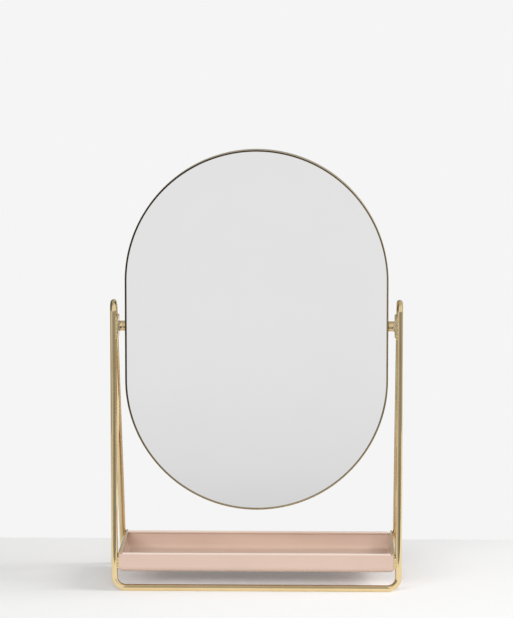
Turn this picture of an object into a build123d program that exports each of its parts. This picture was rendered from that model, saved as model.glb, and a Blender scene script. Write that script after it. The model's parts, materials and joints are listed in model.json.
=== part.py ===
from build123d import *
import math
import os

# A vanity mirror that turns between two wire loops, over an open tray. Millimetres.
# X runs left to right, Y from front to back, Z up from the table.
# The origin is on the table, under the middle of the stand.
# A "depth" is measured back from the centre line of the two front legs.

# Mirror
mirror_width = 198.0
mirror_height = 272.5
mirror_gap = 32.7           # from the tray's lip up to the mirror's lowest point
rim_wall = 0.8
rim_lip = 1.4               # width of the lip that shows round the glass
rim_lip_thick = 1.0
rim_round = 0.9             # the lip is rolled over from the band
lip_break = 0.3             # the lip's inner edge, bevelled
rim_rear_round = 0.25
glass_thick = 3.0
glass_gap = 0.2
glass_break = 0.3
bedding_thick = 0.8
bedding_inset = 11.0
board_thick = 5.0
board_gap = 0.3
cover_thick = 1.0
cover_gap = 0.25
cover_recess = 1.2          # how far the back cover lies inside the rim's rear edge

# Screws of the back cover
cover_screw_count = 6
cover_screw_inset = 9.0
cover_screw_dia = 2.4
cover_screw_length = 4.5
cover_screw_head_dia = 4.6
cover_screw_head = 1.0
cover_screw_head_round = 0.5
cover_hole_gap = 0.2

# Pivot
pivot_above_centre = 3.0
pivot_screw_dia = 4.0
pivot_head_dia = 8.5
pivot_head = 2.4
pivot_head_round = 0.6
hex_key = 2.5
hex_depth = 1.5
running_gap = 0.05          # round the screw's shank, and beside the fixed plate
collar_dia = 7.7
collar_length = 4.05
nylon_washer_dia = 8.4
nylon_washer_thick = 0.6
spring_washer_dia = 7.2
spring_washer_thick = 1.0
spring_washer_split = 1.0
plate_height = 16.0
plate_thick = 1.6
plate_corner = 5.0
plate_overlap = 1.5         # how far the plate runs past the middle of each wire
plate_break = 0.3           # the edge on the mirror's side, rounded
lug_length = 5.0
lug_height = 10.0
lug_gap = 0.2
lug_corner = 1.0

# Wire stand
wire_dia = 5.0
leg_spread = 102.3          # front rail to rear rail, centre to centre
loop_rise = 20.5            # from the pivot up to the top of the loops
loop_bend = 6.0
rail_bend = 8.5
weld_sink = 0.3             # how deep a welded piece is let into its neighbour

# Tray
tray_clearance = 14.6       # table to the tray's underside
tray_height = 14.9
tray_sheet = 1.2
tray_bend = 4.5
tray_setback = 0.6          # tray's front lip behind the front of the wire
rod_dia = 3.0
rod_overrun = 0.6           # rods past the rear legs' centre line
tray_shortfall = 4.5        # the rods run on past the tray's rear lip to the legs
hem_end_gap = 0.5

# Heights
wire_radius = wire_dia / 2
lip_top = tray_clearance + tray_height
mirror_z = lip_top + mirror_gap + mirror_height / 2
pivot_z = mirror_z + pivot_above_centre
rail_z = wire_radius
loop_centre_z = pivot_z + loop_rise - wire_radius - loop_bend

# Along X, from the mirror's side outwards
rim_side_x = mirror_width / 2
collar_end_x = rim_side_x + collar_length
washer_end_x = collar_end_x + nylon_washer_thick
plate_inner_x = washer_end_x + running_gap
plate_outer_x = plate_inner_x + plate_thick
spring_washer_x = plate_outer_x + running_gap
head_x = spring_washer_x + spring_washer_thick
leg_x = plate_outer_x - weld_sink + wire_radius
rod_x = leg_x - wire_radius + weld_sink - rod_dia / 2

# The rear leg leans forward to meet the bend over the front leg, and both are tangent to it.
front_y = -leg_spread / 2
rear_y = leg_spread / 2
loop_drop = loop_centre_z - rail_z
half_lean = math.atan(
    (math.sqrt(loop_drop ** 2 + leg_spread * (leg_spread - 2 * loop_bend)) - loop_drop) / leg_spread
)
lean = math.tan(2 * half_lean)
apex_z = rail_z + leg_spread / lean

# The mirror's layers, from the rim's front edge backwards
core_thick = bedding_thick + board_thick
pivot_from_front = rim_lip_thick + glass_thick + core_thick / 2
pivot_y = front_y + (apex_z - pivot_z) * lean / 2
rim_front_y = pivot_y - pivot_from_front
glass_y = rim_front_y + rim_lip_thick
bedding_y = glass_y + glass_thick
board_y = bedding_y + bedding_thick
cover_y = board_y + board_thick
rim_depth = rim_lip_thick + glass_thick + core_thick + cover_thick + cover_recess
lug_width = core_thick - 2 * lug_gap
lug_x = rim_side_x - rim_wall - lug_length

# Tray and rods
hem_radius = tray_sheet
rod_z = lip_top - rod_dia / 2
tray_half = rod_x + tray_sheet / 2
tray_front_y = front_y - wire_radius + tray_setback
rod_front_y = tray_front_y + tray_sheet
rod_rear_y = front_y + (apex_z - rod_z) * lean + rod_overrun
tray_rear_y = rod_rear_y - tray_shortfall
end_wall_top = rod_z - rod_dia / 2 + weld_sink


def mirror_slab(inset, front, thick, taper=0):
    """A plate with the mirror's long round-ended outline, drawn in by inset."""
    plane = Plane(origin=(0, front, mirror_z), x_dir=(1, 0, 0), z_dir=(0, 1, 0))
    outline = SlotOverall(mirror_height - 2 * inset, mirror_width - 2 * inset, rotation=90)
    return extrude(plane * outline, amount=thick, taper=taper)


def pivot_plane(x):
    """A plane across the pivot's axis at x, that faces right."""
    return Plane(origin=(x, pivot_y, pivot_z), x_dir=(0, 1, 0), z_dir=(1, 0, 0))


def pivot_disc(x, length, diameter):
    """A round bar on the pivot's axis, from x to the right."""
    return extrude(pivot_plane(x) * Circle(diameter / 2), amount=length)


def shank_hole(x, length):
    """The room that the pivot screw's shank takes up with its running gap."""
    return pivot_disc(x, length, pivot_screw_dia + 2 * running_gap)


def to_left(solid):
    """The left-hand twin of a piece on the right."""
    return mirror(solid, about=Plane.YZ)


def make_stand_wire():
    """One wire, bent into the front rail, two tight loops and the rear rail, and welded shut."""
    path = FilletPolyline(
        (0, front_y, rail_z),
        (leg_x, front_y, rail_z),
        (leg_x, front_y, apex_z),
        (leg_x, rear_y, rail_z),
        (0, rear_y, rail_z),
        radius=[rail_bend, loop_bend, rail_bend],
    )
    section = Plane(origin=path @ 0, z_dir=path % 0) * Circle(wire_radius)
    right_half = sweep(section, path=path)
    return right_half + to_left(right_half)


def make_rod():
    """The right-hand rod that carries the tray's end wall, let into both legs."""
    plane = Plane(origin=(rod_x, rod_front_y, rod_z), x_dir=(1, 0, 0), z_dir=(0, 1, 0))
    return extrude(plane * Circle(rod_dia / 2), amount=rod_rear_y - rod_front_y)


def make_plate():
    """The right-hand pivot plate, welded across the front and the rear wire."""
    wires_apart = (apex_z - pivot_z) * lean
    outline = RectangleRounded(wires_apart + 2 * plate_overlap, plate_height, plate_corner)
    plate = extrude(pivot_plane(plate_inner_x) * outline, amount=plate_thick)
    plate = fillet(plate.edges().group_by(Axis.X)[0], plate_break)
    return plate - shank_hole(plate_inner_x, plate_thick)


def channel(width, height, bend):
    """A channel's end: square at the top, and rounded at the foot, which is on the origin."""
    outline = Rectangle(width, height, align=(Align.CENTER, Align.MIN))
    return fillet(outline.vertices().group_by(Axis.Y)[0], bend)


def pan_block(inset, top):
    """The tray's outside, or its hollow where inset is the sheet: two rounded channels crossed."""
    bend = tray_bend - inset
    bottom = tray_clearance + inset
    height = top - bottom
    half = tray_half - inset
    front = tray_front_y + inset
    rear = tray_rear_y - inset
    middle = (front + rear) / 2
    across = channel(2 * half, height, bend)
    across = Plane(origin=(0, front, bottom), x_dir=(-1, 0, 0), z_dir=(0, 1, 0)) * across
    along = channel(rear - front, height, bend)
    along = Plane(origin=(-half, middle, bottom), x_dir=(0, 1, 0), z_dir=(1, 0, 0)) * along
    return extrude(across, amount=rear - front) & extrude(along, amount=2 * half)


def make_tray(rods):
    """A shallow pan with its long lips folded over, and low end walls welded under the rods."""
    lip_edge = lip_top - hem_radius
    tray = pan_block(0, lip_edge) - pan_block(tray_sheet, lip_top)
    depth = tray_rear_y - tray_sheet - rod_front_y
    above_ends = Pos(0, rod_front_y + depth / 2, (end_wall_top + lip_top) / 2)
    tray -= above_ends * Box(2 * tray_half, depth, lip_top - end_wall_top)
    hem_length = 2 * (rod_x - rod_dia / 2 - hem_end_gap)
    for hem_y in (tray_front_y + hem_radius, tray_rear_y - hem_radius):
        tray += Pos(0, hem_y, lip_edge) * Rot(0, 90, 0) * Cylinder(hem_radius, hem_length)
    for rod in rods:
        tray -= rod
    return tray


def make_rim():
    """The rim: a deep band, rolled over into a narrow lip, with a hole each side for a pivot screw."""
    band = mirror_slab(0, rim_front_y, rim_depth)
    band = fillet(band.edges().group_by(Axis.Y)[0], rim_round)
    band = fillet(band.edges().group_by(Axis.Y)[-1], rim_rear_round)
    band -= mirror_slab(rim_wall, glass_y, rim_depth)
    band -= mirror_slab(rim_lip, rim_front_y, rim_lip_thick)
    band -= mirror_slab(rim_lip - lip_break, rim_front_y, lip_break, taper=45)
    return band - shank_hole(-rim_side_x, mirror_width)


def make_glass():
    """The mirror glass, with both edges ground off a little."""
    glass = mirror_slab(rim_wall + glass_gap, glass_y, glass_thick)
    return chamfer(glass.edges(), glass_break)


def lug_block(gap):
    """The right-hand lug's outside, grown by a gap, up to the rim's inner wall."""
    outline = RectangleRounded(lug_width + 2 * gap, lug_height + 2 * gap, lug_corner)
    return extrude(pivot_plane(lug_x - gap) * outline, amount=lug_length + gap)


def make_lug():
    """The right-hand lug, welded inside the rim and threaded for the pivot screw."""
    return lug_block(0) - shank_hole(lug_x, lug_length)


def screw_places():
    """Where the cover's screws stand: evenly along the outline drawn in from the cover's edge."""
    inset = rim_wall + cover_gap + cover_screw_inset
    radius = mirror_width / 2 - inset
    straight = mirror_height - mirror_width
    length = 2 * straight + 2 * math.pi * radius
    quarter = math.pi * radius / 2
    places = []
    for index in range(cover_screw_count):
        run = length * index / cover_screw_count
        side = 1 if run < length / 2 else -1
        if side < 0:
            run = length - run
        if run < quarter:
            turn = run / radius
            x, z = radius * math.sin(turn), straight / 2 + radius * math.cos(turn)
        elif run < quarter + straight:
            x, z = radius, straight / 2 - (run - quarter)
        else:
            turn = (run - quarter - straight) / radius
            x, z = radius * math.cos(turn), -straight / 2 - radius * math.sin(turn)
        places.append((side * x, mirror_z + z))
    return places


def screw_bar(x, z, front, length, diameter):
    """A round bar along Y behind a point of the back cover."""
    plane = Plane(origin=(x, front, z), x_dir=(1, 0, 0), z_dir=(0, 1, 0))
    return extrude(plane * Circle(diameter / 2), amount=length)


def make_cover_screws():
    """The pan-head screws that hold the cover to the board."""
    screws = []
    head_y = cover_y + cover_thick
    for x, z in screw_places():
        head = screw_bar(x, z, head_y, cover_screw_head, cover_screw_head_dia)
        head = fillet(head.edges().group_by(Axis.Y)[-1], cover_screw_head_round)
        screws.append(head + screw_bar(x, z, head_y - cover_screw_length, cover_screw_length, cover_screw_dia))
    return Compound(children=screws)


def drill_for_screws(plate, gap):
    """A plate with a hole round each screw's shank."""
    head_y = cover_y + cover_thick
    start = head_y - cover_screw_length - running_gap
    for x, z in screw_places():
        plate -= screw_bar(x, z, start, cover_screw_length + 2 * running_gap, cover_screw_dia + 2 * gap)
    return plate


def make_board():
    """The backing board, notched for both lugs."""
    board = mirror_slab(rim_wall + board_gap, board_y, board_thick)
    notch = lug_block(board_gap)
    board -= notch
    board -= to_left(notch)
    return drill_for_screws(board, running_gap)


def make_cover():
    """The thin sheet that closes the back."""
    cover = mirror_slab(rim_wall + cover_gap, cover_y, cover_thick)
    return drill_for_screws(cover, cover_hole_gap)


def make_spring_washer():
    """The right-hand split washer between the plate and the screw's head."""
    washer = pivot_disc(spring_washer_x, spring_washer_thick, spring_washer_dia)
    washer -= shank_hole(spring_washer_x, spring_washer_thick)
    slot = Rectangle(spring_washer_split, spring_washer_dia, align=(Align.CENTER, Align.MAX))
    return washer - extrude(pivot_plane(spring_washer_x) * slot, amount=spring_washer_thick)


def make_pivot_screw():
    """The right-hand pivot screw: its plain shank runs in the plate, and its end holds in the lug."""
    head = pivot_disc(head_x, pivot_head, pivot_head_dia)
    head = fillet(head.edges().group_by(Axis.X)[-1], pivot_head_round)
    key = RegularPolygon(hex_key / 2, 6, major_radius=False)
    head -= extrude(pivot_plane(head_x + pivot_head - hex_depth) * key, amount=hex_depth)
    return head + pivot_disc(lug_x, head_x - lug_x, pivot_screw_dia)


stand_wire = make_stand_wire()
rod = make_rod()
parts = {
    "stand_wire": stand_wire,
    "tray": make_tray([rod, to_left(rod)]),
    "mirror_rim": make_rim(),
    "mirror_glass": make_glass(),
    "glass_bedding": mirror_slab(rim_wall + bedding_inset, bedding_y, bedding_thick),
    "backing_board": make_board(),
    "back_cover": make_cover(),
    "cover_screws": make_cover_screws(),
}
collar = pivot_disc(rim_side_x, collar_length, collar_dia) - shank_hole(rim_side_x, collar_length)
nylon_washer = pivot_disc(collar_end_x, nylon_washer_thick, nylon_washer_dia)
nylon_washer -= shank_hole(collar_end_x, nylon_washer_thick)
right_hand = {
    "tray_rod": rod - stand_wire,
    "pivot_plate": make_plate() - stand_wire,
    "pivot_lug": make_lug(),
    "collar": collar,
    "nylon_washer": nylon_washer,
    "spring_washer": make_spring_washer(),
    "pivot_screw": make_pivot_screw(),
}
for name, piece in right_hand.items():
    parts[name + "_right"] = piece
    parts[name + "_left"] = to_left(piece)

os.makedirs("parts", exist_ok=True)
for name, piece in parts.items():
    export_step(piece, f"parts/{name}.step")

whole = Compound(children=list(parts.values())).bounding_box()
print("outside size", whole.size, "lowest", whole.min, "highest", whole.max)
print("rear leg leans", round(math.degrees(2 * half_lean), 2), "degrees; pivot at", round(pivot_y, 3), round(pivot_z, 3))
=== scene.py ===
import json
import math

import bmesh
import bpy
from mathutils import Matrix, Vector

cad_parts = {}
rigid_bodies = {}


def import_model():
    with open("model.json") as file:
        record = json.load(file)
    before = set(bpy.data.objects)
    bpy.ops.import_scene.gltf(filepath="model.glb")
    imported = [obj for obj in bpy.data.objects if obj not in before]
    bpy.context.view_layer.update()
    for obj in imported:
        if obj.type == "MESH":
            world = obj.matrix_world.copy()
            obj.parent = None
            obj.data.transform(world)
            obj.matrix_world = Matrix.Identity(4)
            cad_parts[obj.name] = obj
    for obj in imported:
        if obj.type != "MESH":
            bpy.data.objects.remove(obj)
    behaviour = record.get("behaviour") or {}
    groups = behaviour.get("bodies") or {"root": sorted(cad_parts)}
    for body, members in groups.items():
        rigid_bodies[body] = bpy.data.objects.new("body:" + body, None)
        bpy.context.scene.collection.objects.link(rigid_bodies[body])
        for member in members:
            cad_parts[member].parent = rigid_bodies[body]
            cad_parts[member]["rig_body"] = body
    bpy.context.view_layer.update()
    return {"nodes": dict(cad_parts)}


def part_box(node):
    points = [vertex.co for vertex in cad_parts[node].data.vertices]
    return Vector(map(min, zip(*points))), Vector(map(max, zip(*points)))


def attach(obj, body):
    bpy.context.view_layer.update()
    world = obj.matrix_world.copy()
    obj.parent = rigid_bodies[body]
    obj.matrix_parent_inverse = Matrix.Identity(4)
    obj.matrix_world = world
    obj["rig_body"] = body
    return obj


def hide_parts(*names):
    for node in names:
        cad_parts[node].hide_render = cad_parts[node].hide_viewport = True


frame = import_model()
print("frame loaded:", len(frame["nodes"]), "pieces")

mm = 0.001
touching = 1e-6                  # points nearer than this are one point


# Small tools for trees and meshes

def addNode(tree, kind, inputs=None, **settings):
    node = tree.nodes.new(kind)
    for name, value in settings.items():
        setattr(node, name, value)
    for name, value in (inputs or {}).items():
        if isinstance(value, bpy.types.NodeSocket):
            tree.links.new(value, node.inputs[name])
        else:
            node.inputs[name].default_value = value
    return node


def newTree(name, inputs):
    # a geometry tree with a mesh going in, named inputs, and a mesh coming out
    tree = bpy.data.node_groups.new(name, "GeometryNodeTree")
    tree.interface.new_socket("Geometry", in_out="INPUT", socket_type="NodeSocketGeometry")
    for label, kind in inputs.items():
        tree.interface.new_socket(label, in_out="INPUT", socket_type="NodeSocket" + kind)
    tree.interface.new_socket("Geometry", in_out="OUTPUT", socket_type="NodeSocketGeometry")
    return tree, addNode(tree, "NodeGroupInput").outputs


def endTree(tree, geometry, material):
    real = addNode(tree, "GeometryNodeRealizeInstances", {0: geometry})
    dressed = addNode(tree, "GeometryNodeSetMaterial", {0: real.outputs[0], "Material": material})
    addNode(tree, "NodeGroupOutput", {0: dressed.outputs[0]})


def bakeTree(piece, tree, values):
    # runs the tree on the piece and keeps its result as a plain mesh
    modifier = piece.modifiers.new(tree.name, "NODES")
    modifier.node_group = tree
    for item in tree.interface.items_tree:
        if item.in_out == "INPUT" and item.name in values:
            modifier[item.identifier] = values[item.name]
    graph = bpy.context.evaluated_depsgraph_get()
    mesh = bpy.data.meshes.new_from_object(piece.evaluated_get(graph))
    piece.modifiers.clear()
    piece.data = mesh
    mesh.name = piece.name
    return piece


def newObject(name, vertices, edges=(), faces=(), material=None):
    mesh = bpy.data.meshes.new(name)
    mesh.from_pydata([tuple(point) for point in vertices], list(edges), list(faces))
    if material:
        mesh.materials.append(material)
    piece = bpy.data.objects.new(name, mesh)
    bpy.context.scene.collection.objects.link(piece)
    return piece


def loopEdges(count):
    return [(index, (index + 1) % count) for index in range(count)]


def smoothByAngle(mesh, degrees=35, merge=0.1 * touching):
    # merges what touches, turns faces outwards, then shades smooth except over sharper edges
    shape = bmesh.new()
    shape.from_mesh(mesh)
    bmesh.ops.remove_doubles(shape, verts=shape.verts, dist=merge)
    bmesh.ops.recalc_face_normals(shape, faces=shape.faces)
    if shape.calc_volume(signed=True) < 0:
        bmesh.ops.reverse_faces(shape, faces=shape.faces)
    for face in shape.faces:
        face.smooth = True
    for edge in shape.edges:
        edge.smooth = len(edge.link_faces) == 2 and edge.calc_face_angle() < math.radians(degrees)
    shape.to_mesh(mesh)
    shape.free()


def arc(centre, radii, start, end, steps):
    # points along part of an ellipse, angles in degrees
    points = []
    for step in range(steps + 1):
        turn = math.radians(start + (end - start) * step / steps)
        points.append((centre[0] + radii[0] * math.cos(turn), centre[1] + radii[1] * math.sin(turn)))
    return points


def dress(piece, body, slot, *nodes):
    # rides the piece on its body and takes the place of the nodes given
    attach(piece, body)
    if nodes:
        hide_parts(*nodes)
    return piece


# Finishes

def newMaterial(name):
    material = bpy.data.materials.new(name)
    material.use_nodes = True
    tree = material.node_tree
    return material, tree, tree.nodes["Principled BSDF"]


def objectPlace(tree):
    return addNode(tree, "ShaderNodeTexCoord").outputs["Object"]


def noise(tree, scale, detail, roughness=0.5):
    # scale is the number of patches to the metre
    return addNode(tree, "ShaderNodeTexNoise", {
        "Vector": objectPlace(tree), "Scale": scale, "Detail": detail, "Roughness": roughness,
    }).outputs[0]


def spread(tree, value, low, high, fromLow=0.3, fromHigh=0.7):
    # stretches a pattern's usual range to run from low to high
    return addNode(tree, "ShaderNodeMapRange", {
        "Value": value, "From Min": fromLow, "From Max": fromHigh, "To Min": low, "To Max": high,
    }).outputs[0]


def blendColours(tree, factor, first, second):
    # first is a colour or another node's result, and second is a colour
    node = addNode(tree, "ShaderNodeMix", {"Factor": factor}, data_type="RGBA")
    if isinstance(first, bpy.types.NodeSocket):
        tree.links.new(first, node.inputs["A"])
    else:
        node.inputs["A"].default_value = (*first, 1)
    node.inputs["B"].default_value = (*second, 1)
    return node.outputs["Result"]


def addBump(tree, shader, height, strength, distance):
    bump = addNode(tree, "ShaderNodeBump", {"Height": height, "Strength": strength, "Distance": distance})
    tree.links.new(bump.outputs[0], shader.inputs["Normal"])


goldFinish = {
    "bright": (0.90, 0.722, 0.423),
    "deep": (0.85, 0.665, 0.372),
    "clouding": 45,              # slow changes of tone, per metre
    "smears": 160,               # patches that are a little duller, per metre
    "drawLines": 2600,           # fine lines left by the drawing and polishing, per metre
    "lineDepth": 0.02 * mm,
}


def makeGold(name, roughness, tint=1.0, lines=0.03):
    # tint darkens the gold, and lines is how strongly the fine lines show
    material, tree, shader = newMaterial(name)
    clouds = noise(tree, goldFinish["clouding"], 4)
    bright = [tint * value for value in goldFinish["bright"]]
    deep = [tint * value for value in goldFinish["deep"]]
    tone = blendColours(tree, spread(tree, clouds, 0, 1), bright, deep)
    tree.links.new(tone, shader.inputs["Base Color"])
    smears = noise(tree, goldFinish["smears"], 5, roughness=0.65)
    tree.links.new(spread(tree, smears, *roughness), shader.inputs["Roughness"])
    shader.inputs["Metallic"].default_value = 1
    grain = noise(tree, goldFinish["drawLines"], 2)
    addBump(tree, shader, grain, lines, goldFinish["lineDepth"])
    return material


# painted shade: a dark band along the rim's lip where it meets the glass, heaviest at the upper left and
# faintest at the lower right, as the light falls
lipPaintedShade = {
    "colour": (0.06, 0.045, 0.035),
    "darkest": 0.95,             # share of the painted shade's colour at the upper left
    "palest": 0.40,              # and at the lower right
    "towards": (0.7, 0, -0.5),   # the way the painted shade grows fainter
    "range": (-150 * mm, -25 * mm),
}


def makeRimGold():
    # painted shade: the rolled lip is darkened where it meets the glass, most towards the upper left; the
    # mask rides on the strip's own attribute
    material = makeGold("goldRim", (0.14, 0.24), 0.85)
    tree = material.node_tree
    shader = tree.nodes["Principled BSDF"]
    gold = shader.inputs["Base Color"].links[0].from_socket
    seam = addNode(tree, "ShaderNodeAttribute", attribute_name="seam").outputs["Fac"]
    across = addNode(tree, "ShaderNodeVectorMath", {
        0: objectPlace(tree), 1: lipPaintedShade["towards"],
    }, operation="DOT_PRODUCT")
    paintedShadeStrength = spread(tree, across.outputs["Value"], lipPaintedShade["darkest"], lipPaintedShade["palest"], *lipPaintedShade["range"])
    shade = addNode(tree, "ShaderNodeMath", {0: seam, 1: paintedShadeStrength}, operation="MULTIPLY")
    mixed = blendColours(tree, shade.outputs[0], gold, lipPaintedShade["colour"])
    tree.links.new(mixed, shader.inputs["Base Color"])
    return material


goldWire = makeGold("goldWire", (0.05, 0.11))
goldRim = makeRimGold()
goldFittings = makeGold("goldFittings", (0.16, 0.28), 0.97)
goldSheet = makeGold("goldSheet", (0.3, 0.42), 0.95, 0.2)
weldGold = makeGold("weldGold", (0.12, 0.3), 1.0, 0.5)

enamelFinish = {
    "pink": (0.615, 0.452, 0.370),
    "paler": (0.64, 0.472, 0.390),
    "clouding": 22,              # per metre, as are the next two
    "dullPatches": 90,
    "peel": 900,                 # the enamel's orange peel
    "peelStrength": 0.12,
    "peelDepth": 0.05 * mm,
    "roughness": (0.34, 0.46),
    "gloss": 0.6,                # the clear top of the enamel
    "glossRoughness": 0.18,
    "paintedHighlight": (0.82, 0.70, 0.62),             # painted highlight: paler along the tops of the lips and end walls, standing in for light from above
    "paintedHighlightRange": (27.9 * mm, 29.4 * mm),    # heights over which it does
}


def makeEnamel():
    material, tree, shader = newMaterial("pinkEnamel")
    clouds = noise(tree, enamelFinish["clouding"], 3)
    tone = blendColours(tree, spread(tree, clouds, 0, 1), enamelFinish["pink"], enamelFinish["paler"])
    # painted highlight: the enamel turns paler towards the top edges of the tray, where light from above
    # falls
    height = addNode(tree, "ShaderNodeSeparateXYZ", {0: objectPlace(tree)}).outputs["Z"]
    highlightShare = spread(tree, height, 0, 1, *enamelFinish["paintedHighlightRange"])
    paintedHighlighted = blendColours(tree, highlightShare, tone, enamelFinish["paintedHighlight"])
    tree.links.new(paintedHighlighted, shader.inputs["Base Color"])
    patches = noise(tree, enamelFinish["dullPatches"], 5)
    tree.links.new(spread(tree, patches, *enamelFinish["roughness"]), shader.inputs["Roughness"])
    shader.inputs["Coat Weight"].default_value = enamelFinish["gloss"]
    shader.inputs["Coat Roughness"].default_value = enamelFinish["glossRoughness"]
    peel = noise(tree, enamelFinish["peel"], 2)
    addBump(tree, shader, peel, enamelFinish["peelStrength"], enamelFinish["peelDepth"])
    return material


silverFinish = {
    "clear": (0.845, 0.843, 0.843),
    "dim": (0.83, 0.829, 0.83),
    "haze": 14,                  # per metre, as is the next
    "wipeMarks": 60,
    "roughness": (0.012, 0.03),
}


def makeSilvering():
    # mirror glass: almost perfectly even, with a breath of haze and a slightly darker mottling
    material, tree, shader = newMaterial("silveredGlass")
    haze = noise(tree, silverFinish["haze"], 5, roughness=0.6)
    tone = blendColours(tree, spread(tree, haze, 0, 1), silverFinish["clear"], silverFinish["dim"])
    tree.links.new(tone, shader.inputs["Base Color"])
    marks = noise(tree, silverFinish["wipeMarks"], 6)
    tree.links.new(spread(tree, marks, *silverFinish["roughness"]), shader.inputs["Roughness"])
    shader.inputs["Metallic"].default_value = 1
    return material


def makePlain(name, first, second, scale, roughness, metallic=0.0, bump=0.1):
    # one grain, scale to the metre, sets the colour, the dullness and the relief
    material, tree, shader = newMaterial(name)
    grain = noise(tree, scale, 6, roughness=0.6)
    tree.links.new(blendColours(tree, spread(tree, grain, 0, 1), first, second), shader.inputs["Base Color"])
    tree.links.new(spread(tree, grain, *roughness), shader.inputs["Roughness"])
    shader.inputs["Metallic"].default_value = metallic
    addBump(tree, shader, grain, bump, 0.05 * mm)
    return material


pinkEnamel = makeEnamel()
silvering = makeSilvering()
foam = makePlain("foamTape", (0.86, 0.86, 0.83), (0.74, 0.74, 0.71), 1500, (0.8, 0.95), bump=0.4)
fibreboard = makePlain("fibreboard", (0.50, 0.36, 0.23), (0.36, 0.25, 0.15), 700, (0.7, 0.9), bump=0.3)
zinc = makePlain("zincPlate", (0.62, 0.62, 0.61), (0.50, 0.51, 0.52), 400, (0.25, 0.42), metallic=1)
nylon = makePlain("nylon", (0.88, 0.87, 0.82), (0.82, 0.81, 0.76), 500, (0.4, 0.55))
print("finishes made")


# The bent wire of the stand

wire = {
    "radius": 2.5 * mm,
    "loopBend": 6 * mm,          # over the top, measured to the wire's middle
    "railBend": 8.5 * mm,        # from each leg into its rail
    "sides": 40,
    "bendSteps": 22,
}


def wireCorners():
    # the six corners of the wire's route before they are rounded, from the frame
    low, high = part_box("stand_wire")
    radius = wire["radius"]
    legX, frontY, rearY, railZ = high.x - radius, low.y + radius, high.y - radius, low.z + radius
    spreadY = rearY - frontY
    drop = high.z - radius - wire["loopBend"] - railZ
    # both legs are tangent to the bend, which sets how far the rear one leans
    reach = math.sqrt(drop ** 2 + spreadY * (spreadY - 2 * wire["loopBend"]))
    halfLean = math.atan((reach - drop) / spreadY)
    lean = math.tan(2 * halfLean)
    apexZ = railZ + spreadY / lean
    corners = []
    for side in (1, -1):
        half = [(side * legX, frontY, railZ), (side * legX, frontY, apexZ), (side * legX, rearY, railZ)]
        corners += half if side > 0 else half[::-1]
    return corners, lean, apexZ


wireRoute, legLean, wireApexZ = wireCorners()


def bentWireTree():
    tree, given = newTree("bentWire", {
        "Wire Radius": "Float", "Sides": "Int", "Bend Steps": "Int", "Finish": "Material",
    })
    route = addNode(tree, "GeometryNodeMeshToCurve", {0: given["Geometry"]})
    bend = addNode(tree, "GeometryNodeInputNamedAttribute", {"Name": "bendRadius"}, data_type="FLOAT")
    rounded = addNode(tree, "GeometryNodeFilletCurve", {
        "Curve": route.outputs[0], "Radius": bend.outputs[0], "Count": given["Bend Steps"],
    }, mode="POLY")
    section = addNode(tree, "GeometryNodeCurvePrimitiveCircle", {
        "Radius": given["Wire Radius"], "Resolution": given["Sides"],
    })
    tube = addNode(tree, "GeometryNodeCurveToMesh", {
        "Curve": rounded.outputs[0], "Profile Curve": section.outputs[0],
    })
    smooth = addNode(tree, "GeometryNodeSetShadeSmooth", {0: tube.outputs[0]})
    endTree(tree, smooth.outputs[0], given["Finish"])
    return tree


def makeStandWire():
    piece = newObject("standWire", wireRoute, loopEdges(len(wireRoute)))
    bends = piece.data.attributes.new("bendRadius", "FLOAT", "POINT")
    for index in range(len(wireRoute)):
        isLoop = index % 3 == 1      # the middle one of each side's three corners
        bends.data[index].value = wire["loopBend"] if isLoop else wire["railBend"]
    bakeTree(piece, bentWireTree(), {
        "Wire Radius": wire["radius"], "Sides": wire["sides"],
        "Bend Steps": wire["bendSteps"], "Finish": goldWire,
    })
    return dress(piece, "stand", "gold_wire", "stand_wire")


makeStandWire()
print("stand wire bent")


# Weld beads where the pivot plates and the tray meet the wire

weld = {
    "radius": 1.25 * mm,
    "step": 1.0 * mm,            # from one drop of the bead to the next
    "unevenness": 0.16,          # how much smaller the smallest drop is
    "seed": 11,
    "offMiddle": 1.25 * mm,      # from the wire's middle forwards, or backwards on the rear leg
    "seamX": 105.5 * mm,         # beads that hold the pivot plates
    "halfHeight": 7.6 * mm,
    "trayX": 104.7 * mm,         # beads that hold the tray
    "traySpan": (18.5 * mm, 25.5 * mm),
}


def weldSeams():
    # start and end of every bead, on both sides
    frontY = wireRoute[0][1]
    plateLow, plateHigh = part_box("pivot_plate_right")
    middle = (plateLow.z + plateHigh.z) / 2
    low, high = middle - weld["halfHeight"], middle + weld["halfHeight"]
    seams = []
    for side in (1, -1):
        x = side * weld["seamX"]
        seams.append([(x, frontY - weld["offMiddle"], low), (x, frontY - weld["offMiddle"], high)])
        rear = [frontY + (wireApexZ - z) * legLean + weld["offMiddle"] for z in (low, high)]
        seams.append([(x, rear[0], low), (x, rear[1], high)])
        x = side * weld["trayX"]
        bottom, top = weld["traySpan"]
        seams.append([(x, frontY - weld["offMiddle"], bottom), (x, frontY - weld["offMiddle"], top)])
    return seams


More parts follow.
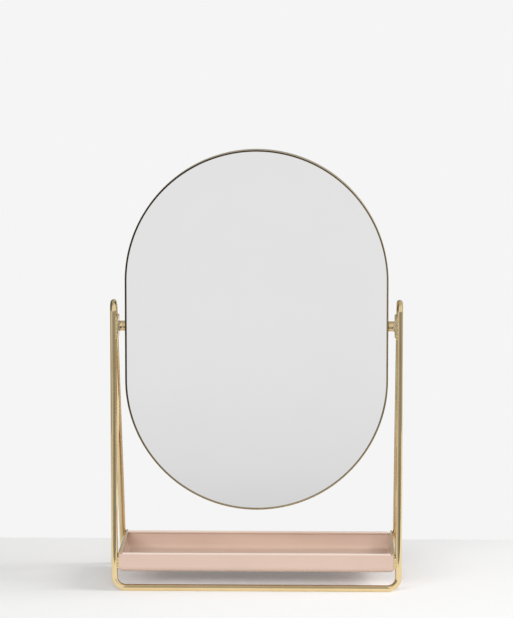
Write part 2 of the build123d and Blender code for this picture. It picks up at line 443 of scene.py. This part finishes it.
def weldTree():
    tree, given = newTree("weldBeads", {
        "Bead Radius": "Float", "Step": "Float", "Unevenness": "Float", "Finish": "Material",
    })
    seam = addNode(tree, "GeometryNodeMeshToCurve", {0: given["Geometry"]})
    places = addNode(tree, "GeometryNodeResampleCurve", {
        "Curve": seam.outputs[0], "Length": given["Step"],
    }, mode="LENGTH")
    drop = addNode(tree, "GeometryNodeMeshIcoSphere", {"Radius": given["Bead Radius"], "Subdivisions": 3})
    smallest = addNode(tree, "ShaderNodeMath", {0: 1.0, 1: given["Unevenness"]}, operation="SUBTRACT")
    # sockets 2 and 3 are the least and the greatest value
    size = addNode(tree, "FunctionNodeRandomValue", {
        2: smallest.outputs[0], 3: 1.0, "Seed": weld["seed"],
    }, data_type="FLOAT")
    row = addNode(tree, "GeometryNodeInstanceOnPoints", {
        "Points": places.outputs[0], "Instance": drop.outputs[0], "Scale": size.outputs[1],
    })
    smooth = addNode(tree, "GeometryNodeSetShadeSmooth", {0: row.outputs[0]})
    endTree(tree, smooth.outputs[0], given["Finish"])
    return tree


def makeWelds():
    seams = weldSeams()
    points = [point for seam in seams for point in seam]
    piece = newObject("weldBeads", points, [(2 * index, 2 * index + 1) for index in range(len(seams))])
    bakeTree(piece, weldTree(), {
        "Bead Radius": weld["radius"], "Step": weld["step"],
        "Unevenness": weld["unevenness"], "Finish": weldGold,
    })
    return dress(piece, "stand", "gold_wire")


makeWelds()
print("welds laid")


# Turned pieces: rods, hems, collars and washers

def turnedMesh(profile, centreY, centreZ, steps):
    # profile is a closed section of (x, radius) points, spun round a line along X
    vertices, faces = [], []
    for step in range(steps):
        turn = 2 * math.pi * step / steps
        for x, radius in profile:
            vertices.append((x, centreY + radius * math.cos(turn), centreZ + radius * math.sin(turn)))
    count = len(profile)
    for step in range(steps):
        following = (step + 1) % steps
        for index in range(count):
            after = (index + 1) % count
            if profile[index][1] or profile[after][1]:
                faces.append((step * count + index, step * count + after,
                              following * count + after, following * count + index))
    return vertices, faces


def makeTurned(name, profile, centreY, centreZ, material, steps=64):
    vertices, faces = turnedMesh(profile, centreY, centreZ, steps)
    piece = newObject(name, vertices, faces=faces, material=material)
    smoothByAngle(piece.data, 40)
    return piece


def turnedSection(startX, endX, outer, rounding, inner=0):
    # a bar's section, or a sleeve's where inner is its bore, with its outer edges rounded
    return ([(startX, inner)]
            + arc((startX + rounding, outer - rounding), (rounding, rounding), 180, 90, 5)
            + arc((endX - rounding, outer - rounding), (rounding, rounding), 90, 0, 5)
            + [(endX, inner)])


pivot = {
    "bore": 2.05 * mm,           # radius of the hole round the screw's shank
    "collarRound": 0.35 * mm,
    "washerRound": 0.2 * mm,
    "washerInset": 0.3 * mm,     # keeps the washer's rim from showing past the collar
}


def makeCollars():
    for side in ("left", "right"):
        for node, name, slot, material, rounding, shrink in (
            ("collar", "collar", "gold_fittings", goldFittings, pivot["collarRound"], 0),
            ("nylon_washer", "nylonWasher", "nylon", nylon, pivot["washerRound"], pivot["washerInset"]),
        ):
            low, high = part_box(f"{node}_{side}")
            middle = (low + high) / 2
            radius = (high.z - low.z) / 2 - shrink
            section = turnedSection(low.x, high.x, radius, rounding, pivot["bore"])
            piece = makeTurned(name + side.capitalize(), section, middle.y, middle.z, material)
            dress(piece, "mirror", slot, f"{node}_{side}")


makeCollars()


def smoothCopy(node, name, material, slot):
    # a copy of a construction piece with its touching corners merged and its curves shaded smooth
    source = frame["nodes"][node]
    mesh = source.data.copy()
    mesh.name = name
    mesh.materials.clear()
    mesh.materials.append(material)
    if mesh.has_custom_normals:
        mesh.attributes.remove(mesh.attributes["custom_normal"])
    piece = bpy.data.objects.new(name, mesh)
    bpy.context.scene.collection.objects.link(piece)
    smoothByAngle(mesh, merge=touching)
    return dress(piece, source["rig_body"], slot, node)


for side in ("left", "right"):
    for node, name, material, slot in (
        ("pivot_screw", "pivotScrew", goldFittings, "gold_fittings"),
        ("pivot_plate", "pivotPlate", goldFittings, "gold_fittings"),
        ("spring_washer", "springWasher", zinc, "plain_steel"),
        ("pivot_lug", "pivotLug", zinc, "plain_steel"),
    ):
        smoothCopy(f"{node}_{side}", name + side.capitalize(), material, slot)
print("pivots dressed")


# The rods over the tray's end walls

rod = {
    "rounding": 0.3 * mm,
    "sides": 32,
}


def makeRods():
    for side in ("left", "right"):
        low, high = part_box(f"tray_rod_{side}")
        radius = (high.z - low.z) / 2
        sideways = 1 if side == "right" else -1
        inner = low.x if side == "right" else -high.x
        # turned about X, then laid along Y
        section = turnedSection(low.y, high.y, radius, rod["rounding"])
        piece = makeTurned("trayRod" + side.capitalize(), section, 0, 0, goldWire, rod["sides"])
        for vertex in piece.data.vertices:
            along, across, up = vertex.co
            vertex.co = (sideways * (inner + radius) - across, along, (low.z + high.z) / 2 + up)
        dress(piece, "stand", "gold_wire", f"tray_rod_{side}")


makeRods()


# The tray: a pressed pan with folded lips front and back

tray = {
    "sheet": 1.2 * mm,
    "bend": 4.5 * mm,
    "bendSteps": 9,
    "cornerSoftness": 0.5 * mm,  # where the walls meet
    "edgeSoftness": 0.25 * mm,   # along the end walls' tops
    "hemEndGap": 0.5 * mm,       # between a folded lip's end and the rod
    "hemRound": 0.5 * mm,
    "hemSides": 40,
    "rodSink": 0.3 * mm,         # how deep the rods are let into the end walls
    "smoothUnder": 40,           # degrees
}


def channelLine(low, high, floor, heights, bend):
    # one wall top, the bend, the floor and the other wall, as (across, up) points
    steps = tray["bendSteps"]
    foot = arc((low + bend, floor + bend), (bend, bend), 180, 270, steps)
    return ([(low, height) for height in heights] + foot
            + [(high + low - across, up) for across, up in foot[::-1]]
            + [(high, height) for height in heights[::-1]])


def panSkin(inset, heights, lipHeights):
    # the grid of one face of the pan: where both channels rise, the higher one counts
    low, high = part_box("tray")
    bend = tray["bend"] - inset
    floor = low.z + inset
    across = channelLine(low.x + inset, high.x - inset, floor, heights, bend)
    along = channelLine(low.y + inset, high.y - inset, floor, lipHeights, bend)
    return [[(x, y, max(zx, zy)) for y, zy in along] for x, zx in across]


def soften(shape, edges, width, steps):
    bmesh.ops.bevel(shape, geom=edges, offset=width, segments=steps, affect="EDGES", profile=0.5)


def makeTray():
    low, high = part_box("tray")
    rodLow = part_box("tray_rod_right")[0]
    lipEdge = high.z - tray["sheet"]
    endTop = rodLow.z + tray["rodSink"]
    outer = panSkin(0, [endTop], [lipEdge, endTop])
    inner = panSkin(tray["sheet"], [endTop], [lipEdge, endTop])
    rows, columns = len(outer), len(outer[0])
    vertices = [point for skin in (outer, inner) for row in skin for point in row]
    offset = rows * columns
    faces = []
    for row in range(rows - 1):
        for column in range(columns - 1):
            first = row * columns + column
            quad = (first, first + 1, first + columns + 1, first + columns)
            faces.append(quad[::-1])
            faces.append(tuple(offset + index for index in quad))
    border = ([(0, column) for column in range(columns)]
              + [(row, columns - 1) for row in range(1, rows)]
              + [(rows - 1, column) for column in range(columns - 2, -1, -1)]
              + [(row, 0) for row in range(rows - 2, 0, -1)])
    ring = [row * columns + column for row, column in border]
    for index, corner in enumerate(ring):
        after = ring[(index + 1) % len(ring)]
        faces.append((corner, after, offset + after, offset + corner))
    piece = newObject("trayPan", vertices, faces=faces, material=pinkEnamel)
    shape = bmesh.new()
    shape.from_mesh(piece.data)
    bmesh.ops.remove_doubles(shape, verts=shape.verts, dist=0.1 * touching)

    def isCorner(edge):
        places = [corner.co for corner in edge.verts]
        return all(abs(abs(place.x) - high.x) < touching
                   and min(abs(place.y - low.y), abs(place.y - high.y)) < touching for place in places)

    def isEndTop(edge):
        level = all(abs(corner.co.z - endTop) < touching for corner in edge.verts)
        return level and edge.calc_face_angle(0) > 1

    soften(shape, [edge for edge in shape.edges if isCorner(edge)], tray["cornerSoftness"], 3)
    soften(shape, [edge for edge in shape.edges if isEndTop(edge)], tray["edgeSoftness"], 2)
    shape.to_mesh(piece.data)
    shape.free()
    hemEnd = rodLow.x - tray["hemEndGap"]
    hemRadius = tray["sheet"]
    hems = []
    for hemY in (low.y + hemRadius, high.y - hemRadius):
        section = turnedSection(-hemEnd, hemEnd, hemRadius, tray["hemRound"])
        hems.append(makeTurned("trayHem", section, hemY, lipEdge, pinkEnamel, tray["hemSides"]))
    smoothByAngle(piece.data, tray["smoothUnder"])
    with bpy.context.temp_override(active_object=piece, selected_editable_objects=[piece] + hems):
        bpy.ops.object.join()
    return dress(piece, "stand", "pink_enamel", "tray")


makeTray()
print("tray pressed")


# The mirror's rim and glass

mirror = {
    "height": 272.5 * mm,
    "arcSteps": 96,              # over each half round
    "straightSteps": 6,
    "wall": 0.8 * mm,
    "lip": 1.4 * mm,
    "lipThick": 1.0 * mm,
    "crown": (0.4 * mm, 0.5 * mm),       # the lip's outer rounding, across and deep
    "slope": (0.85 * mm, 0.8 * mm),      # its fall towards the glass, across and deep
    "paintedShadeFrom": 0.24 * mm,               # where across the lip the painted shade begins
    "rearRound": 0.25 * mm,
    "glassGap": 0.2 * mm,
    "glassBreak": 0.3 * mm,              # ground off both edges of the glass
}


def roundEnded(inset):
    # the mirror's outline drawn in by inset, clockwise from the top, as (x, z)
    low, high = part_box("mirror_rim")
    radius = high.x - inset
    middle = (low.z + high.z) / 2
    straight = mirror["height"] / 2 - high.x
    steps = mirror["arcSteps"]
    points = arc((0, middle + straight), (radius, radius), 90, 0, steps // 2)
    count = mirror["straightSteps"]
    points += [(radius, middle + straight - 2 * straight * step / count) for step in range(1, count)]
    points += arc((0, middle - straight), (radius, radius), 0, -180, steps)
    points += [(-radius, middle - straight + 2 * straight * step / count) for step in range(1, count)]
    points += arc((0, middle + straight), (radius, radius), 180, 90, steps // 2)[:-1]
    return points


def rimSection():
    # the rim's strip in section, as (inset from the outside, depth from the front)
    low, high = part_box("mirror_rim")
    depth = high.y - low.y
    wall, lip, thick = mirror["wall"], mirror["lip"], mirror["lipThick"]
    crown, slope, rear = mirror["crown"], mirror["slope"], mirror["rearRound"]
    return (arc((crown[0], crown[1]), crown, 180, 270, 6)
            + arc((lip - slope[0], slope[1]), slope, 270, 360, 9)
            + [(lip, thick), (wall, thick)]
            + arc((wall - rear, depth - rear), (rear, rear), 0, 90, 4)
            + arc((rear, depth - rear), (rear, rear), 90, 180, 4))


def rimTree():
    tree, given = newTree("rolledRim", {"Section": "Object", "Finish": "Material"})
    route = addNode(tree, "GeometryNodeMeshToCurve", {0: given["Geometry"]})
    level = addNode(tree, "GeometryNodeSetCurveNormal", {"Curve": route.outputs[0]}, mode="FREE")
    level.inputs["Normal"].default_value = (0, 1, 0)
    strip = addNode(tree, "GeometryNodeObjectInfo", {"Object": given["Section"]})
    section = addNode(tree, "GeometryNodeMeshToCurve", {0: strip.outputs["Geometry"]})
    band = addNode(tree, "GeometryNodeCurveToMesh", {
        "Curve": level.outputs[0], "Profile Curve": section.outputs[0],
    })
    endTree(tree, band.outputs[0], given["Finish"])
    return tree


def makeRim():
    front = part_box("mirror_rim")[0].y
    outline = roundEnded(0)
    piece = newObject("mirrorRim", [(x, front, z) for x, z in outline], loopEdges(len(outline)))
    section = rimSection()
    strip = newObject("rimSection", [(depth, -inset, 0) for inset, depth in section], loopEdges(len(section)))
    # the seam attribute marks the band of painted shade on the lip
    seam = strip.data.attributes.new("seam", "FLOAT", "POINT")
    for index, (inset, depth) in enumerate(section):
        onLip = mirror["paintedShadeFrom"] < inset and depth < mirror["lipThick"]
        seam.data[index].value = 1.0 if onLip else 0.0
    bakeTree(piece, rimTree(), {"Section": strip, "Finish": goldRim})
    bpy.data.objects.remove(strip)
    smoothByAngle(piece.data, 40)
    return dress(piece, "mirror", "gold_rim", "mirror_rim")


def layeredPlate(name, rings, material):
    # rings of the mirror's outline, each (inset, y), closed by a flat face at both ends
    vertices, faces = [], []
    for inset, y in rings:
        vertices += [(x, y, z) for x, z in roundEnded(inset)]
    count = len(vertices) // len(rings)
    for ring in range(len(rings) - 1):
        for index in range(count):
            after = (index + 1) % count
            faces.append((ring * count + index, ring * count + after,
                          (ring + 1) * count + after, (ring + 1) * count + index))
    faces.append(tuple(range(count))[::-1])
    faces.append(tuple(range(len(vertices) - count, len(vertices))))
    piece = newObject(name, vertices, faces=faces, material=material)
    smoothByAngle(piece.data, 20)
    return piece


def makeGlass():
    low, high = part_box("mirror_glass")
    inset = mirror["wall"] + mirror["glassGap"]
    cut = mirror["glassBreak"]
    rings = [(inset + cut, low.y), (inset, low.y + cut), (inset, high.y - cut), (inset + cut, high.y)]
    return dress(layeredPlate("mirrorGlass", rings, silvering), "mirror", "mirror_glass", "mirror_glass")


makeRim()
makeGlass()
print("mirror set in its rim")


# The back: cover, screws and what lies between

coverScrew = {
    "count": 6,
    "seed": 4,                   # how far each one happens to be turned
    "inset": 9 * mm,             # from the cover's edge to the screws' middles
    "coverGap": 0.25 * mm,       # between the cover and the rim
    "radius": 2.3 * mm,          # of the head, as are the next two
    "height": 1.0 * mm,
    "rounding": 0.65 * mm,
    "shank": (1.2 * mm, 4.5 * mm),       # radius and length
    "crossWidth": 0.75 * mm,
    "crossLength": 2.5 * mm,
    "crossDepth": 0.6 * mm,
    "crossTaper": 0.55,          # the recess's size at its bottom, as a share of its mouth
}


def screwHeadMesh():
    # a pan head that faces +Y, with a cross recess; its seat is on the origin
    radius, height, rounding = coverScrew["radius"], coverScrew["height"], coverScrew["rounding"]
    shank, reach = coverScrew["shank"]
    section = ([(-reach, 0), (-reach, shank / 2), (shank - reach, shank), (0, shank), (0, radius)]
               + arc((height - rounding, radius - rounding), (rounding, rounding), 90, 0, 6)
               + [(height, 0)])
    head = makeTurned("screwHead", section, 0, 0, goldFittings, 48)
    for vertex in head.data.vertices:
        along, across, up = vertex.co
        vertex.co = (across, along, up)
    cutters = []
    for turn in (0, 90):
        cutter = bpy.data.meshes.new("cross")
        shape = bmesh.new()
        bmesh.ops.create_cube(shape, size=1)
        for vertex in shape.verts:
            taper = coverScrew["crossTaper"] if vertex.co.y < 0 else 1.0
            x = vertex.co.x * coverScrew["crossLength"] * taper
            z = vertex.co.z * coverScrew["crossWidth"] * taper
            y = height + vertex.co.y * 2 * coverScrew["crossDepth"]
            vertex.co = (x, y, z) if turn == 0 else (z, y, x)
        bmesh.ops.recalc_face_normals(shape, faces=shape.faces)
        shape.to_mesh(cutter)
        shape.free()
        blade = bpy.data.objects.new("cross", cutter)
        bpy.context.scene.collection.objects.link(blade)
        recess = head.modifiers.new("cross", "BOOLEAN")
        recess.object = blade
        recess.operation = "DIFFERENCE"
        recess.solver = "EXACT"
        cutters.append(blade)
    graph = bpy.context.evaluated_depsgraph_get()
    mesh = bpy.data.meshes.new_from_object(head.evaluated_get(graph))
    head.modifiers.clear()
    head.data = mesh
    for blade in cutters:
        bpy.data.objects.remove(blade)
    smoothByAngle(mesh, 30)
    return head


def screwRowTree():
    tree, given = newTree("screwRow", {"Screws": "Int", "Head": "Object", "Finish": "Material"})
    route = addNode(tree, "GeometryNodeMeshToCurve", {0: given["Geometry"]})
    places = addNode(tree, "GeometryNodeResampleCurve", {"Curve": route.outputs[0], "Count": given["Screws"]})
    head = addNode(tree, "GeometryNodeObjectInfo", {"Object": given["Head"]})
    turn = addNode(tree, "FunctionNodeRandomValue", {
        2: 0.0, 3: math.pi, "Seed": coverScrew["seed"],
    }, data_type="FLOAT")
    spin = addNode(tree, "ShaderNodeCombineXYZ", {"Y": turn.outputs[1]})
    row = addNode(tree, "GeometryNodeInstanceOnPoints", {
        "Points": places.outputs[0], "Instance": head.outputs["Geometry"], "Rotation": spin.outputs[0],
    })
    endTree(tree, row.outputs[0], given["Finish"])
    return tree


def makeCoverScrews():
    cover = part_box("back_cover")[1].y
    line = roundEnded(mirror["wall"] + coverScrew["coverGap"] + coverScrew["inset"])
    piece = newObject("coverScrews", [(x, cover, z) for x, z in line], loopEdges(len(line)))
    head = screwHeadMesh()
    bakeTree(piece, screwRowTree(), {"Screws": coverScrew["count"], "Head": head, "Finish": goldFittings})
    bpy.data.objects.remove(head)
    return dress(piece, "mirror", "gold_fittings", "cover_screws")


makeCoverScrews()

for node, material in (("back_cover", goldSheet), ("backing_board", fibreboard), ("glass_bedding", foam)):
    frame["nodes"][node].data.materials.clear()
    frame["nodes"][node].data.materials.append(material)
print("back closed")


# Table, backdrop and light

studio = {
    "paper": 0.913,              # the pale ground, as the camera sees it
    "tableTone": 0.90,
    "tableFibres": (60, 0.995),  # per metre, and how much darker they are
    "tableGlow": 0.15,           # for the camera and for reflections only
    "tableFront": -0.16,
    "tableBack": 0.153,
    "tableHalf": 0.9,            # half its width
    "skyStrength": 0.28,
    "lampDistance": 2.4,
}

# share is how brightly a lamp lights the table; angles are in degrees, with azimuth counted
# from the right towards the front
lamps = {
    "side": {"azimuth": 5, "elevation": 35, "across": 20, "up": 20, "share": 0.23},
    "sideFront": {"azimuth": 25, "elevation": 38, "across": 16, "up": 44, "share": 0.10},
    "front": {"azimuth": 104, "elevation": 21, "across": 55, "up": 10, "share": 0.28},
}

# What gold and glass mirror, by degrees round from the camera, right side positive. The
# first is level with the stand and below it, and the second is higher up.
lowSurroundings = {
    -180: 0.95, -150: 0.90, -122: 0.48, -98: 0.26, -80: 0.36, -54: 0.76, -36: 0.70, -27: 0.26,
    -5.8: 0.20, -5.2: 0.913, 2.2: 0.913, 2.8: 0.14, 28: 0.22, 36: 0.34, 65: 0.36, 100: 0.42,
    122: 0.80, 150: 0.92, 180: 0.95,
}
highSurroundings = {
    -180: 0.40, -160: 0.34, -140: 0.14, -100: 0.10, -62: 0.18, -32: 0.62, -18: 1.0, -7: 1.0,
    -5.5: 0.42, 2.5: 0.42, 4: 1.0, 22: 1.0, 32: 0.50, 50: 0.50, 56: 1.0, 84: 1.0, 92: 0.50,
    130: 0.60, 150: 0.60, 180: 0.40,
}
overhead = 0.50
# how much of the first is left further down, by degrees above the level
fallOff = {-180: 0.9, -24: 0.9, -18: 0.12, -15: 0.12, -12: 0.72, -10: 0.92, -8: 1.0, 180: 1.0}
# heights, as the sine of the angle above the level, over which one gives way to the next
lowToHigh = (-0.06, 0.02)
highToOverhead = (0.8, 0.95)


def makeTable():
    material, tree, shader = newMaterial("paleTable")
    tone = studio["tableTone"]
    scale, darker = studio["tableFibres"]
    colour = blendColours(tree, noise(tree, scale, 4), (tone, tone, tone), [darker * tone] * 3)
    tree.links.new(colour, shader.inputs["Base Color"])
    rays = addNode(tree, "ShaderNodeLightPath").outputs
    seen = addNode(tree, "ShaderNodeMath", {0: rays["Is Camera Ray"], 1: rays["Is Glossy Ray"]},
                   operation="MAXIMUM")
    glow = addNode(tree, "ShaderNodeMath", {0: seen.outputs[0], 1: studio["tableGlow"]},
                   operation="MULTIPLY")
    tree.links.new(glow.outputs[0], shader.inputs["Emission Strength"])
    shader.inputs["Emission Color"].default_value = (1, 1, 1, 1)
    shader.inputs["Roughness"].default_value = 0.9
    shader.inputs["Specular IOR Level"].default_value = 0
    half, front, back = studio["tableHalf"], studio["tableFront"], studio["tableBack"]
    corners = [(-half, front, 0), (half, front, 0), (half, back, 0), (-half, back, 0)]
    table = newObject("table", corners, faces=[(0, 1, 2, 3)], material=material)


def addRamp(tree, around, levels):
    # grey levels by degrees from -180 to 180
    ramp = addNode(tree, "ShaderNodeValToRGB", {"Fac": around})
    stops = ramp.color_ramp.elements
    for index, (degrees, value) in enumerate(levels.items()):
        position = 0.5 + degrees / 360
        stop = stops.new(position) if 0 < index < len(levels) - 1 else stops[-1 if index else 0]
        stop.position = position
        stop.color = (value, value, value, 1)
    return ramp.outputs[0]


def halfTurns(tree, angle):
    # -180 to 180 degrees become 0 to 1, as the ramps count
    return addNode(tree, "ShaderNodeMapRange", {
        "Value": angle.outputs[0], "From Min": -math.pi, "From Max": math.pi,
    }).outputs[0]


def makeWorld():
    world = bpy.data.worlds.new("studioWorld")
    bpy.context.scene.world = world
    world.use_nodes = True
    tree = world.node_tree
    tree.nodes.clear()
    paper = studio["paper"]
    # reflected light comes from the surroundings, as far round and as high as the ray points
    direction = addNode(tree, "ShaderNodeTexCoord").outputs["Generated"]
    axes = addNode(tree, "ShaderNodeSeparateXYZ", {0: direction}).outputs
    ahead = addNode(tree, "ShaderNodeMath", {0: axes["Y"], 1: -1.0}, operation="MULTIPLY")
    azimuth = addNode(tree, "ShaderNodeMath", {0: axes["X"], 1: ahead.outputs[0]}, operation="ARCTAN2")
    around = halfTurns(tree, azimuth)
    height = halfTurns(tree, addNode(tree, "ShaderNodeMath", {0: axes["Z"]}, operation="ARCSINE"))
    low = addNode(tree, "ShaderNodeMix", {
        "Factor": 1.0, "A": addRamp(tree, around, lowSurroundings), "B": addRamp(tree, height, fallOff),
    }, data_type="RGBA", blend_type="MULTIPLY").outputs["Result"]
    high = addRamp(tree, around, highSurroundings)
    rise = spread(tree, axes["Z"], 0, 1, *lowToHigh)
    sides = addNode(tree, "ShaderNodeMix", {"Factor": rise, "A": low, "B": high}, data_type="RGBA")
    top = spread(tree, axes["Z"], 0, 1, *highToOverhead)
    above = blendColours(tree, top, sides.outputs["Result"], [overhead] * 3)
    # the camera sees the paper, and all other light is the plain sky
    rays = addNode(tree, "ShaderNodeLightPath").outputs
    seen = addNode(tree, "ShaderNodeMath", {0: rays["Is Camera Ray"], 1: rays["Is Transmission Ray"]},
                   operation="MAXIMUM")
    light = addNode(tree, "ShaderNodeBackground", {"Color": (1, 1, 1, 1), "Strength": studio["skyStrength"]})
    mirrored = addNode(tree, "ShaderNodeBackground", {"Color": above, "Strength": 1})
    backdrop = addNode(tree, "ShaderNodeBackground", {"Color": (paper, paper, paper, 1), "Strength": 1})
    first = addNode(tree, "ShaderNodeMixShader",
                    {0: rays["Is Glossy Ray"], 1: light.outputs[0], 2: mirrored.outputs[0]})
    last = addNode(tree, "ShaderNodeMixShader",
                   {0: seen.outputs[0], 1: first.outputs[0], 2: backdrop.outputs[0]})
    addNode(tree, "ShaderNodeOutputWorld", {0: last.outputs[0]})


def addLamp(name, azimuth, elevation, across, up, share):
    # a soft box, across by up as seen from the stand, whose power gives the table its share
    distance = studio["lampDistance"]
    turn, rise = math.radians(azimuth), math.radians(elevation)
    direction = Vector((math.cos(turn) * math.cos(rise), -math.sin(turn) * math.cos(rise), math.sin(rise)))
    data = bpy.data.lights.new(name, "AREA")
    data.shape = "RECTANGLE"
    data.size = 2 * distance * math.tan(math.radians(across / 2))
    data.size_y = 2 * distance * math.tan(math.radians(up / 2))
    data.energy = math.pi ** 2 * share * distance ** 2 / math.sin(rise)
    lamp = bpy.data.objects.new(name, data)
    bpy.context.scene.collection.objects.link(lamp)
    lamp.location = direction * distance
    lamp.rotation_euler = direction.to_track_quat("Z", "Y").to_euler()
    lamp.visible_glossy = False


makeTable()
makeWorld()
for name, lamp in lamps.items():
    addLamp(name, **lamp)

camera = {
    "back": 2.329,               # from the front legs to the lens, level
    "right": 0.0548,
    "height": 0.5015,
    "tiltDown": 7.0,
    "turnLeft": 1.346,
    "lens": 182.4,               # millimetres, as is the height of the film
    "film": 36,
    "sees": (0.1, 50),           # from and to how far off
}


def makeCamera():
    data = bpy.data.cameras.new("camera")
    data.sensor_fit = "VERTICAL"
    data.sensor_height = camera["film"]
    data.lens = camera["lens"]
    data.clip_start, data.clip_end = camera["sees"]
    view = bpy.data.objects.new("camera", data)
    bpy.context.scene.collection.objects.link(view)
    frontY = wireRoute[0][1]
    view.location = (camera["right"], frontY - camera["back"], camera["height"])
    view.rotation_euler = (math.radians(90 - camera["tiltDown"]), 0, math.radians(camera["turnLeft"]))
    bpy.context.scene.camera = view


makeCamera()
bpy.context.scene.view_settings.view_transform = "Standard"
print("studio set")
